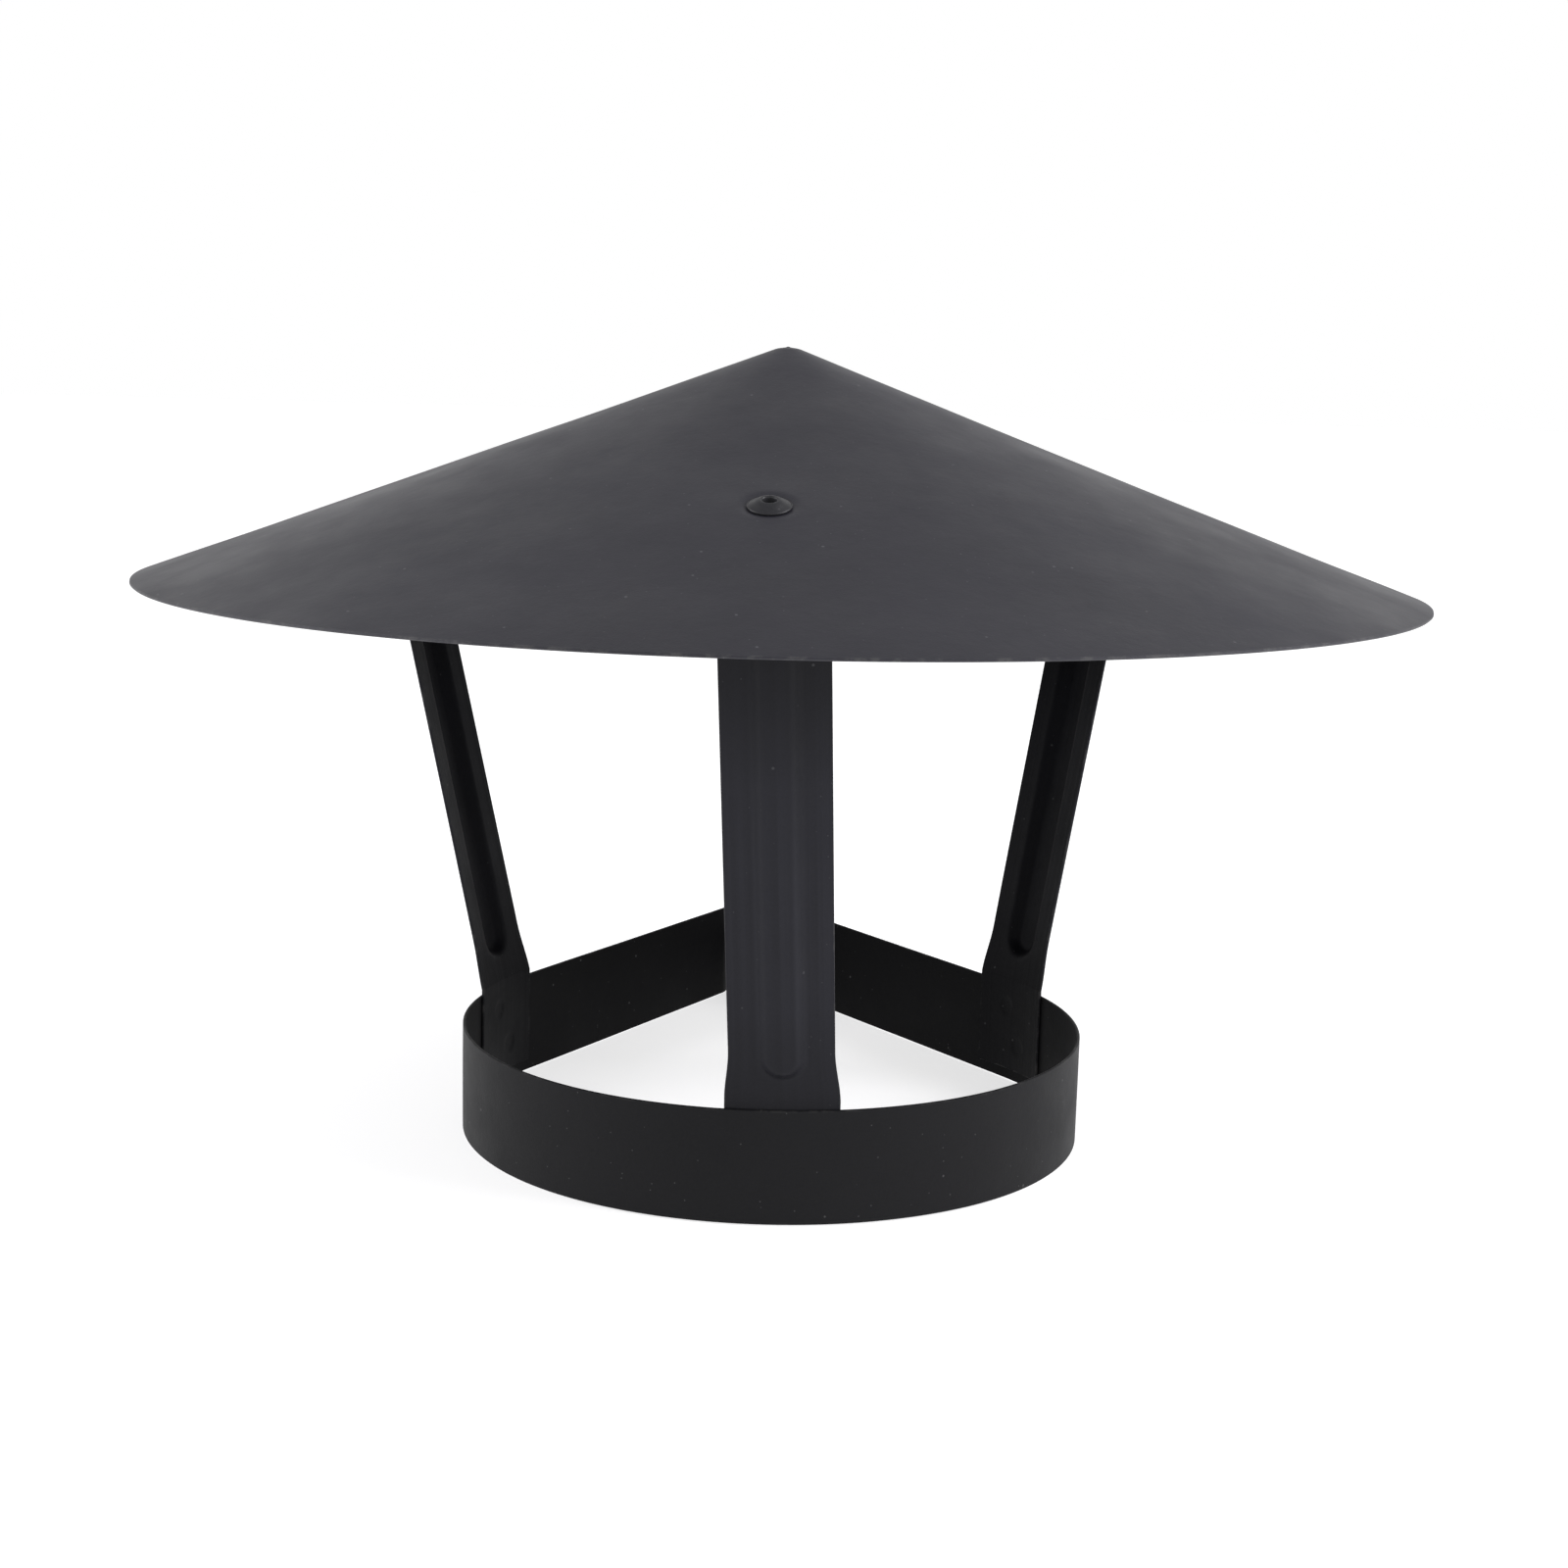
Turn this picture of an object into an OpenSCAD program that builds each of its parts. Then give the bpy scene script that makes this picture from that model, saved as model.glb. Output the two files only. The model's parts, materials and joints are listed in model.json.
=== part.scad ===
// Conical rain cap for a stove flue: a sheet-steel cone on three pressed strip legs,
// which are spot-welded inside a band that is pulled tight round the flue by one bolt.
// The origin is on the flue's axis at the band's lower edge. The front leg faces -Y,
// and the clamp opens towards +Y.

/* [Clamp band] */
// Inside diameter of the band, the nominal diameter of the flue
flue_d = 150; // [140:5:160]
// Height of the band
band_h = 26; // [24:1:30]
// Thickness of all the sheet steel
sheet_t = 0.7; // [0.6:0.1:1]
// Angle from the clamp at which the band leaves the circle and runs straight
run_angle = 57.5; // [55:0.5:60]
// Clear gap between the clamp's two ears
ear_gap = 18; // [14:0.5:24]
// Length of the flat of each ear
ear_l = 16; // [15:1:18]
// Inside radius of the bend into each ear
ear_bend_r = 8; // [5:1:10]
// Corner radius at the free end of each ear
ear_corner_r = 4; // [2:0.5:5]

/* [Cap] */
// Diameter of the cone at its rim
cap_d = 303; // [279:2:311]
// Height of the rim above the band's lower edge
rim_z = 134; // [125:1:140]
// Rise of the cone from rim to peak
cap_rise = 56; // [50:0.5:60]
// Width of the lap joint in the cone
lap_w = 14; // [10:1:20]

/* [Legs] */
// Width of each leg's flat ends
leg_w = 25.4; // [22:0.2:27]
// Width of each leg along its rib
leg_waist_w = 23.2; // [21:0.2:25]
// Angle round the band from the front leg to the left leg
left_turn = 113.5; // [108:0.5:124]
// Angle round the band from the front leg to the right leg
right_turn = 119.5; // [116:0.5:124]
// Outward slope of the legs, from vertical
leg_slope = 13; // [11:0.5:14]
// Sideways lean of the front, left and right legs as they were bent, clockwise seen from above
leg_lean = [2.8, -1, -2.6]; // [-3:0.2:3]
// Width of the pressed rib
rib_w = 11.6; // [9:0.2:13]
// Height of the pressed rib
rib_h = 2.6; // [2:0.2:3]
// Gap from the band's upper edge to the rib
rib_clear = 7; // [5:1:12]

/* [Fasteners] */
// Distance of the cap's rivets from the axis
rivet_r = 88; // [84:1:92]
// Diameter of the rivet's shank
rivet_d = 4.8; // [4:0.8:4.8]
// Diameter of the rivet's head
rivet_head_d = 9.5; // [8.5:0.5:10]
// Diameter of the clamp bolt
bolt_d = 6; // [5:1:6]
// Length of the clamp bolt under its head
bolt_l = 40; // [40:5:45]

/* [Hidden] */
$fn = 180;

fit_gap = 0.05;
// How far neighbouring shapes of one solid run into each other
lap = 0.6;
paint = "#3c3d42";
inner_paint = "#2a2b2e";
black_steel = "#26272a";
steel = "#55565a";

// Band
band_ri = flue_d / 2;
band_ro = band_ri + sheet_t;
bend_c = band_ro + ear_bend_r;
bend_steps = 8;
tangent_tuck = 0.005;
run_l = (bend_c * sin(run_angle) - ear_gap / 2 - ear_bend_r - sheet_t) / cos(run_angle);
ear_cx = bend_c * sin(run_angle) - run_l * cos(run_angle);
ear_y0 = bend_c * cos(run_angle) + run_l * sin(run_angle);
ear_y1 = ear_y0 + ear_l;
bolt_y = ear_y0 + ear_l * 0.5;
bolt_z = band_h / 2;

// Cone: heights of its upper face, its slope and its peak
cap_r = cap_d / 2;
cap_slope = atan(cap_rise / cap_r);
cap_peak = rim_z + cap_rise;
function cap_z(r) = rim_z + (cap_r - r) * tan(cap_slope);

// Legs: the foot, the sloping run and the tab under the cone
foot_z = 3;
foot_ro = band_ri - fit_gap;
knee_z = band_h + 1.5;
tab_r = rivet_r - 11;
tab_top = cap_z(0) - (sheet_t + fit_gap) / cos(cap_slope);
tab_bottom = tab_top - sheet_t / cos(cap_slope);
function crown_r(r0, top) =
    (r0 + (top - knee_z) * tan(leg_slope)) / (1 + tan(leg_slope) * tan(cap_slope));
crown_ro = crown_r(foot_ro, tab_top);
crown_ri = crown_r(foot_ro - sheet_t / cos(leg_slope), tab_bottom);
function tab_z(r, top) = top - r * tan(cap_slope);
function lean_y(i, z) = -max(0, z - knee_z) * tan(leg_lean[i]);
leg_angles = [-90, -90 - left_turn, -90 + right_turn];

// Rib: a capsule that stands rib_h out of the leg's outer face
rib_r = (pow(rib_w / 2, 2) + pow(rib_h, 2)) / (2 * rib_h);
rib_z0 = (rib_clear + band_h - knee_z) / cos(leg_slope) + rib_w / 2;
rib_z1 = (tab_z(crown_ro, tab_top) - knee_z) / cos(leg_slope) - rib_w / 2 - 9;

// Rivets: grip through the cone and the tab, blind tail below, mandrel inside
grip = 2 * sheet_t + 2 * fit_gap;
rivet_head_h = 1.7;
rivet_tail_d = rivet_d + 2;
rivet_tail_l = 4;
mandrel_d = 2.6;
mandrel_head_d = 4;
function rivet_turn(i) = asin(lean_y(i, cap_z(rivet_r)) / rivet_r);

// Bolt, nut and washers, to the metric standard for the bolt's diameter
hex_w = bolt_d == 6 ? 10 : 8;
head_h = bolt_d == 6 ? 4 : 3.5;
nut_h = bolt_d == 6 ? 5 : 4;
washer_d = bolt_d * 2;
washer_t = bolt_d == 6 ? 1.6 : 1;
stack_x = ear_gap / 2 + sheet_t;

// Plan of the right-hand side of the band's face of radius r: run, bend and ear, up to y_end
function side_face(r, y_end) =
    let (inside = r - tangent_tuck, bend_r = bend_c - inside)
    concat(
        [inside * [sin(run_angle), cos(run_angle)]],
        [for (i = [0:bend_steps]) let (a = 270 - run_angle - i * (90 - run_angle) / bend_steps)
            [ear_cx, ear_y0] + bend_r * [cos(a), sin(a)]],
        [[ear_cx - bend_r, y_end]]
    );

// Everything inside the band's face of radius r, in plan: a circle that opens into the clamp
module inside_band(r, y_end) {
    right = side_face(r, y_end);
    last = len(right) - 1;
    circle(r = r);
    polygon(concat(right, [for (i = [last:-1:0]) [-right[i][0], right[i][1]]]));
}

// Side view of the band, with the ears' free corners rounded
module band_side_view() {
    reach = band_ro + 1;
    translate([-reach, 0])
        square([reach + ear_y1 - ear_corner_r, band_h]);
    translate([-reach, ear_corner_r])
        square([reach + ear_y1, band_h - 2 * ear_corner_r]);
    for (z = [ear_corner_r, band_h - ear_corner_r])
        translate([ear_y1 - ear_corner_r, z])
            circle(r = ear_corner_r, $fn = 48);
}

module clamp_band() {
    color(paint)
        difference() {
            intersection() {
                linear_extrude(band_h)
                    difference() {
                        inside_band(band_ro, ear_y1);
                        inside_band(band_ri, ear_y1 + 1);
                    }
                rotate([90, 0, 90])
                    linear_extrude(4 * band_ri, center = true)
                        band_side_view();
            }
            translate([0, bolt_y, bolt_z])
                rotate([0, 90, 0])
                    cylinder(d = bolt_d + 0.6, h = ear_gap + 4 * sheet_t + 2, center = true, $fn = 48);
        }
}

// Moves its children to leg i's rivet, with +Z square to the cone's upper face
module at_rivet(i) {
    rotate([0, 0, leg_angles[i] + rivet_turn(i)])
        translate([rivet_r, 0, cap_z(rivet_r)])
            rotate([0, cap_slope, 0])
                children();
}

module rivet_hole() {
    translate([0, 0, -3])
        cylinder(d = rivet_d + 2 * fit_gap, h = 6, $fn = 48);
}

// The cone is rolled from a flat blank, and its ends lap over each other at the back
module cap_cone() {
    edge = [sheet_t * sin(cap_slope), sheet_t * cos(cap_slope)];
    lap_skin = sheet_t / cos(cap_slope);
    color(paint)
        difference() {
            union() {
                rotate_extrude()
                    polygon([
                        [0, cap_peak], [cap_r, rim_z],
                        [cap_r - edge[0], rim_z - edge[1]], [0, cap_peak - lap_skin],
                    ]);
                intersection() {
                    rotate_extrude()
                        polygon([
                            [12, cap_z(12) - lap / 2], [cap_r - 2, cap_z(cap_r - 2) - lap / 2],
                            [cap_r - 2, cap_z(cap_r - 2) + lap_skin], [12, cap_z(12) + lap_skin],
                        ]);
                    translate([-lap_w / 2, 0, rim_z])
                        cube([lap_w, cap_r, cap_rise + 2]);
                }
            }
            for (i = [0:2])
                at_rivet(i)
                    rivet_hole();
        }
}

// Upright outline of a leg as seen from outside: full width at the ends, waisted at the rib
module leg_outline(i) {
    edge = [
        [leg_w / 2, foot_z], [leg_w / 2, knee_z + 1], [leg_waist_w / 2, knee_z + rib_clear + 4],
        [leg_waist_w / 2, rim_z - 4], [leg_w / 2, rim_z + 4], [leg_w / 2, cap_peak],
    ];
    last = len(edge) - 1;
    polygon(concat(
        [for (p = edge) [p[0] + lean_y(i, p[1]), p[1]]],
        [for (k = [last:-1:0]) [-edge[k][0] + lean_y(i, edge[k][1]), edge[k][1]]]
    ));
}

// Moves its children to the leg's knee, with +X out of the run and +Z up along it
module at_run(i) {
    translate([foot_ro, 0, knee_z])
        rotate([leg_lean[i], 0, 0])
            rotate([0, leg_slope, 0])
                children();
}

module rib_capsule(inset) {
    r = rib_r - inset;
    translate([rib_h - rib_r, 0, 0])
        rotate_extrude()
            intersection() {
                union() {
                    for (z = [rib_z0, rib_z1])
                        translate([0, z])
                            circle(r = r);
                    translate([0, rib_z0])
                        square([r, rib_z1 - rib_z0]);
                }
                square([r, rib_z1 + r]);
            }
}

// The space outside the middle of the run's thickness
module outside_run() {
    mid = foot_ro - sheet_t / 2 / cos(leg_slope);
    top = cap_z(0) - knee_z;
    rotate_extrude(angle = 40, start = -20)
        polygon([
            [mid, knee_z], [mid + 2 * rib_h, knee_z],
            [mid + 2 * rib_h + top * tan(leg_slope), knee_z + top], [mid + top * tan(leg_slope), knee_z + top],
        ]);
}

// The strip: its foot follows the band, and its tab lies against the cone
module leg_strip(i) {
    intersection() {
        rotate_extrude(angle = 40, start = -20)
            polygon([
                [foot_ro - sheet_t, foot_z], [foot_ro, foot_z], [foot_ro, knee_z],
                [crown_ro, tab_z(crown_ro, tab_top)],
                [tab_r, tab_z(tab_r, tab_top)], [tab_r, tab_z(tab_r, tab_bottom)],
                [crown_ri, tab_z(crown_ri, tab_bottom)],
                [foot_ro - sheet_t, knee_z + sheet_t * tan(leg_slope / 2)],
            ]);
        rotate([90, 0, 90])
            linear_extrude(cap_r)
                leg_outline(i);
    }
}

module leg(i) {
    color(inner_paint)
        difference() {
            rotate([0, 0, leg_angles[i]])
                difference() {
                    union() {
                        leg_strip(i);
                        intersection() {
                            at_run(i)
                                rib_capsule(0);
                            outside_run();
                        }
                    }
                    at_run(i)
                        rib_capsule(sheet_t);
                }
            at_rivet(i)
                rivet_hole();
        }
}

// Blind rivet, already set: domed head above, swollen tail below, hollow for its mandrel
module rivet(i) {
    dome_r = (pow(rivet_head_d / 2, 2) + pow(rivet_head_h, 2)) / (2 * rivet_head_h);
    color(steel)
        at_rivet(i)
            rotate_extrude($fn = 48)
                difference() {
                    union() {
                        translate([0, fit_gap])
                            intersection() {
                                translate([0, rivet_head_h - dome_r])
                                    circle(r = dome_r);
                                square([rivet_head_d / 2, rivet_head_h]);
                            }
                        translate([0, -grip])
                            square([rivet_d / 2, grip + 2 * fit_gap]);
                        translate([0, -grip - fit_gap - rivet_tail_l])
                            square([rivet_tail_d / 2, rivet_tail_l]);
                        translate([0, -grip - 2 * fit_gap])
                            square([rivet_d / 2, 2 * fit_gap]);
                    }
                    translate([-mandrel_d / 2, -20])
                        square([mandrel_d, 40]);
                    translate([-20, -20])
                        square([20, 40]);
                }
}

// What stays of the mandrel: its stem, broken off below the head, and the bulb that swelled the tail
module mandrel(i) {
    tail_z = -grip - fit_gap - rivet_tail_l;
    color(black_steel)
        at_rivet(i) {
            translate([0, 0, tail_z])
                cylinder(d = mandrel_d - 2 * fit_gap, h = -tail_z + rivet_head_h - 0.8, $fn = 48);
            translate([0, 0, tail_z - 1.6])
                cylinder(d1 = mandrel_head_d - 1, d2 = mandrel_head_d, h = 1.6, $fn = 48);
        }
}

// Moves its children to the bolt's axis at distance x from the middle of the gap
module on_bolt(x) {
    translate([x, bolt_y, bolt_z])
        rotate([0, 90, 0])
            children();
}

module hexagon(h) {
    intersection() {
        cylinder(d = hex_w / cos(30), h = h, $fn = 6);
        cylinder(d1 = hex_w * 1.16, d2 = hex_w * 0.96, h = h, $fn = 96);
    }
}

module clamp_bolt() {
    color(black_steel) {
        on_bolt(-stack_x - washer_t)
            mirror([0, 0, 1])
                hexagon(head_h);
        on_bolt(-stack_x - washer_t)
            cylinder(d = bolt_d, h = bolt_l - 0.8, $fn = 48);
        on_bolt(-stack_x - washer_t + bolt_l - 0.8)
            cylinder(d1 = bolt_d, d2 = bolt_d - 1.6, h = 0.8, $fn = 48);
    }
}

module washer(x) {
    color(black_steel)
        on_bolt(x)
            difference() {
                cylinder(d = washer_d, h = washer_t, $fn = 64);
                translate([0, 0, -1])
                    cylinder(d = bolt_d + 0.4, h = washer_t + 2, $fn = 48);
            }
}

module clamp_nut() {
    color(black_steel)
        on_bolt(stack_x + washer_t)
            difference() {
                hexagon(nut_h);
                translate([0, 0, -1])
                    cylinder(d = bolt_d + 2 * fit_gap, h = nut_h + 2, $fn = 48);
            }
}

cap_cone();
leg(0);  // leg_front
leg(1);  // leg_left
leg(2);  // leg_right
clamp_band();
rivet(0);  // rivet_front
rivet(1);  // rivet_left
rivet(2);  // rivet_right
mandrel(0);  // mandrel_front
mandrel(1);  // mandrel_left
mandrel(2);  // mandrel_right
clamp_bolt();
washer(-stack_x - washer_t);  // washer_head_side
washer(stack_x);  // washer_nut_side
clamp_nut();
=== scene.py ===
"""Looks for a sheet-steel flue rain cap: cone, pressed strip legs, clamp band, rivets and clamp bolt."""
import json
import math

import bmesh
import bpy
import numpy as np
from mathutils import Matrix, Vector


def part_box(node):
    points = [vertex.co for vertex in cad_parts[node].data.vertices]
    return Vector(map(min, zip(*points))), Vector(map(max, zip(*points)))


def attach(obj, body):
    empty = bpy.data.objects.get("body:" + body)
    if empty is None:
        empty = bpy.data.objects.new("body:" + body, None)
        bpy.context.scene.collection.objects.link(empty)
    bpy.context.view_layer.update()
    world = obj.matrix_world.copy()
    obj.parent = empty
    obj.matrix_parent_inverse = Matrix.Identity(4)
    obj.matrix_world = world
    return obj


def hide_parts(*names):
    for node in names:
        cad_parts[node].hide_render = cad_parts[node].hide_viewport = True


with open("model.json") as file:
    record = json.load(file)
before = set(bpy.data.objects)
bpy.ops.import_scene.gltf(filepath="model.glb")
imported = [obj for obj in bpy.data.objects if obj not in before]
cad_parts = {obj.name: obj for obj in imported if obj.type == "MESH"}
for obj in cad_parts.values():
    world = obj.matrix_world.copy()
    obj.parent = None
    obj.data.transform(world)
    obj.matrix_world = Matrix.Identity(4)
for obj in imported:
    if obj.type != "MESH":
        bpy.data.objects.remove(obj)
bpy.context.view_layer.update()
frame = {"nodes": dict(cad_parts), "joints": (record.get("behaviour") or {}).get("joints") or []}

# Design values that no node's box gives, in metres
MM = 0.001
SHEET = 0.7 * MM
FIT_GAP = 0.05 * MM
# How far the middle faces of a sheet stop short of its cut edge, which rounds the edge
EDGE = 0.18 * MM
# Distance between neighbouring mesh points along a bent strip
STRIP_STEP = 0.7 * MM

# Clamp band: the straight run leaves the circle at RUN_ANGLE from the clamp
RUN_ANGLE = math.radians(57.5)
EAR_GAP = 18 * MM
EAR_BEND_R = 8 * MM
EAR_CORNER_R = 4 * MM
BAND_WAVE = 0.10 * MM

# Cone: its lap, its slow waves, and the dimple that a rivet pulls in round its head
LAP_W = 14 * MM
RIVET_R = 88 * MM
PEAK_ROUND_R = 3 * MM
PEAK_DROP = 0.5 * MM
DENT = 0.18 * MM
DIMPLE_DEPTH, DIMPLE_R, DIMPLE_EDGE = 0.45 * MM, 4.4 * MM, 2.0 * MM
LAP_WELDS = 6

# Legs: azimuth round the axis and sideways lean, both in degrees
LEGS = {"front": (-90, 2.8), "left": (-203.5, -1), "right": (29.5, -2.6)}
LEG_SLOPE = math.radians(13)
LEG_W = 25.4 * MM
WAIST_W = 23.2 * MM
FOOT_Z = 3 * MM
KNEE_RISE = 1.5 * MM
BEND_R = 1.4 * MM
RIB_W = 11.6 * MM
RIB_H = 2.3 * MM
RIB_WALL = 3.3 * MM
RIB_CLEAR = 7 * MM
CROWN_CLEAR = 9 * MM
TAB_PAST_RIVET = 11 * MM
# Spot welds in a foot: (distance up the strip, distance from its middle)
FOOT_WELDS = [(17 * MM, 2.5 * MM), (7 * MM, -3 * MM)]

# Clamp bolt, to the metric standard for M6
HEX_W = 10 * MM
THREAD_PITCH, THREAD_DEPTH, THREAD_R = 1 * MM, 0.55 * MM, 2.96 * MM
THREAD_L = 26 * MM
NUT_BORE_R = 3.04 * MM
WASHER_RO, WASHER_RI, WASHER_EDGE = 6 * MM, 3.2 * MM, 0.25 * MM

MAIN_BODY = "cap_and_band"
BOLT_JOINT = [j for j in frame["joints"] if j["name"] == "nut_turn"][0]


# ---------------------------------------------------------------- frame geometry

def cap_facts():
    """Radius, rim height, peak height and slope of the cone's upper face."""
    low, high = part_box("cap_cone")
    radius = high.y
    slope = 0.0
    for _ in range(20):
        slope = math.atan((high.z - low.z - SHEET * math.cos(slope)) / radius)
    return radius, low.z + SHEET * math.cos(slope), high.z, slope


CAP_R, RIM_Z, PEAK_Z, CAP_SLOPE = cap_facts()
BAND_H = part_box("clamp_band")[1].z
BAND_RO = -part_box("clamp_band")[0].y
BOLT_AXIS = Vector(BOLT_JOINT["axis"])
BOLT_POINT = Vector(BOLT_JOINT["pos_m"])


def turn_z(points, angle):
    """The points turned round the Z axis."""
    c, s = math.cos(angle), math.sin(angle)
    x, y = points[..., 0] * c - points[..., 1] * s, points[..., 0] * s + points[..., 1] * c
    return np.stack([x, y, points[..., 2]], -1)


def smooth(t):
    """0 below 0, 1 above 1, and an S-curve between."""
    t = np.clip(t, 0, 1)
    return t * t * (3 - 2 * t)


def spot(distance, radius, edge):
    """1 within a radius, fading smoothly to 0 over the width of the edge."""
    return 1 - smooth((distance - radius) / edge)


def waves(x, y, z, size, seed):
    """Soft, repeatable bumps, mostly from -1 to 1, with features of about the given size."""
    rng = np.random.default_rng(seed)
    count = 14
    total = np.zeros_like(x)
    for _ in range(count):
        k = rng.normal(size=3) / size * 2.2
        total += np.sin(k[0] * x + k[1] * y + k[2] * z + rng.uniform(0, 6.28))
    return total / count ** 0.5 / 1.6


# ---------------------------------------------------------------- mesh helpers

def new_piece(name, verts, faces, body, layers=None, sharp=35):
    """A smooth-shaded mesh that rides on a body. layers holds a named value for each vertex."""
    mesh = bpy.data.meshes.new(name)
    mesh.from_pydata([tuple(v) for v in verts], [], faces)
    for key, values in (layers or {}).items():
        layer = mesh.attributes.new(key, "FLOAT", "POINT")
        layer.data.foreach_set("value", np.asarray(values, np.float32))
    bm = bmesh.new()
    bm.from_mesh(mesh)
    bmesh.ops.remove_doubles(bm, verts=bm.verts, dist=1e-7)
    bmesh.ops.recalc_face_normals(bm, faces=bm.faces)
    bm.to_mesh(mesh)
    bm.free()
    mesh.polygons.foreach_set("use_smooth", [True] * len(mesh.polygons))
    mesh.set_sharp_from_angle(angle=math.radians(sharp))
    obj = bpy.data.objects.new(name, mesh)
    bpy.context.scene.collection.objects.link(obj)
    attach(obj, body)
    return obj


def quads(grid, wrap):
    """Faces between neighbouring rows and columns of an index grid."""
    nxt = np.roll(grid, -1, 0) if wrap else grid[1:]
    cur = grid if wrap else grid[:-1]
    a, b, c, d = cur[:, :-1], nxt[:, :-1], nxt[:, 1:], cur[:, 1:]
    return np.stack([a, b, c, d], -1).reshape(-1, 4).tolist()


def edge_faces(borders, n):
    """Mesh faces round a sheet's cut edges. Its vertices are n outer, then n inner, then n rim ones."""
    inner, rim = n, 2 * n
    faces = []
    for line, closed in borders:
        ends = zip(line, np.roll(line, -1)) if closed else zip(line[:-1], line[1:])
        for a, b in ends:
            faces.append([a, b, b + rim, a + rim])
            faces.append([a + rim, b + rim, b + inner, a + inner])
    return faces


def sheet_faces(index, wrap):
    """Mesh faces of a sheet: outer side, inner side and rounded edges. Also its border lines."""
    n = index.size
    borders = [(index[:, 0], wrap), (index[:, -1], wrap)]
    if not wrap:
        borders += [(index[0, :], False), (index[-1, :], False)]
    faces = quads(index, wrap) + [f[::-1] for f in quads(index + n, wrap)]
    return faces + edge_faces(borders, n), borders


def sheet_piece(name, surface, us, vs, body, thin=None, wrap=False):
    """Sheet metal over a grid. surface(u, v) gives the middle of the sheet and its normal.

    u and v are places along and across, u being an angle when wrap is set. Cut edges are rounded, and
    thin(u, v) is how far the inner face is pressed in. The mesh carries three layers: edge is the distance
    from a cut edge in millimetres, inside is 1 on the inner face, and across is v."""
    u, v = np.meshgrid(us, vs, indexing="ij")
    inner_u = u if wrap else np.clip(u, us[0] + EDGE, us[-1] - EDGE)
    inner_v = np.clip(v, vs[0] + EDGE, vs[-1] - EDGE)
    mid, normal = surface(inner_u, inner_v)
    rim, _ = surface(u, v)
    pressed = thin(inner_u, inner_v)[..., None] if thin else 0
    outer = mid + normal * SHEET / 2
    inner = mid - normal * (SHEET / 2 - pressed)
    reach = np.minimum(v - vs[0], vs[-1] - v)
    if not wrap:
        reach = np.minimum(reach, np.minimum(u - us[0], us[-1] - u))
    verts = np.concatenate([outer.reshape(-1, 3), inner.reshape(-1, 3), rim.reshape(-1, 3)])
    n = u.size
    edge = np.concatenate([reach.ravel(), reach.ravel(), np.zeros(n)]) / MM
    inside = np.repeat([0.0, 1.0, 0.5], n)
    across = np.tile(v.ravel(), 3)
    faces, borders = sheet_faces(np.arange(n).reshape(u.shape), wrap)
    used = np.zeros(3 * n, bool)
    used[:2 * n] = True
    for line, _ in borders:
        used[line + 2 * n] = True
    renumber = np.cumsum(used) - 1
    faces = [[int(renumber[i]) for i in f] for f in faces]
    layers = {"edge": edge[used], "inside": inside[used], "across": across[used]}
    return new_piece(name, verts[used], faces, body, layers)


def lathe(name, profile, place, body, steps=72, sharp=35):
    """A turned piece: profile is (radius, height) points, and place is a matrix."""
    profile = np.array(profile, float)
    turn = np.linspace(0, 2 * math.pi, steps, endpoint=False)
    ring = np.stack([
        np.outer(np.cos(turn), profile[:, 0]), np.outer(np.sin(turn), profile[:, 0]),
        np.tile(profile[:, 1], (steps, 1)),
    ], -1)
    verts = [place @ Vector(p) for p in ring.reshape(-1, 3)]
    faces = quads(np.arange(len(verts)).reshape(ring.shape[:2]), True)
    return new_piece(name, verts, faces, body, sharp=sharp)


def polar_piece(name, radius_at, heights, place, body, steps=360, sharp=25):
    """A closed piece whose radius depends on the turn angle and on the height, such as a hexagon head."""
    turn = np.linspace(0, 2 * math.pi, steps, endpoint=False)
    a, h = np.meshgrid(turn, heights, indexing="ij")
    r = radius_at(a, h)
    ring = np.stack([r * np.cos(a), r * np.sin(a), h], -1)
    verts = [place @ Vector(p) for p in ring.reshape(-1, 3)]
    faces = quads(np.arange(len(verts)).reshape(ring.shape[:2]), True)
    return new_piece(name, verts, faces, body, sharp=sharp)


def path_2d(corners, radii, step):
    """Points and headings, at an even step, along straight lines with rounded corners."""
    corners = [np.array(c, float) for c in corners]
    points, heads = [], []
    start = corners[0]
    for i in range(1, len(corners)):
        head = corners[i] - corners[i - 1]
        head /= np.linalg.norm(head)
        stop = corners[i]
        if i < len(corners) - 1:
            nxt = corners[i + 1] - corners[i]
            nxt /= np.linalg.norm(nxt)
            turn = math.atan2(head[0] * nxt[1] - head[1] * nxt[0], head @ nxt)
            setback = radii[i - 1] * math.tan(abs(turn) / 2)
            stop = corners[i] - head * setback
        count = max(2, int(np.linalg.norm(stop - start) / step) + 1)
        for t in np.linspace(0, 1, count)[(0 if i == 1 else 1):]:
            points.append(start + (stop - start) * t)
            heads.append(head)
        if i < len(corners) - 1:
            side = np.array([-head[1], head[0]]) * math.copysign(1, turn)
            centre = stop + side * radii[i - 1]
            arc = max(4, int(abs(turn) * radii[i - 1] / step) + 1)
            for t in np.linspace(0, 1, arc + 1)[1:]:
                c, s = math.cos(turn * t), math.sin(turn * t)
                spin = np.array([[c, -s], [s, c]])
                points.append(centre + spin @ (stop - centre))
                heads.append(spin @ head)
            start = points[-1]
    return np.array(points), np.array(heads)


def along(points, heads):
    """Turns a path into functions of the distance along it."""
    steps = np.linalg.norm(np.diff(points, axis=0), axis=1)
    dist = np.concatenate([[0], np.cumsum(steps)])

    def sample(s):
        at = [np.interp(s, dist, points[:, k]) for k in (0, 1)]
        head = [np.interp(s, dist, heads[:, k]) for k in (0, 1)]
        return at, head
    return dist, sample


# ---------------------------------------------------------------- cone

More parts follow.
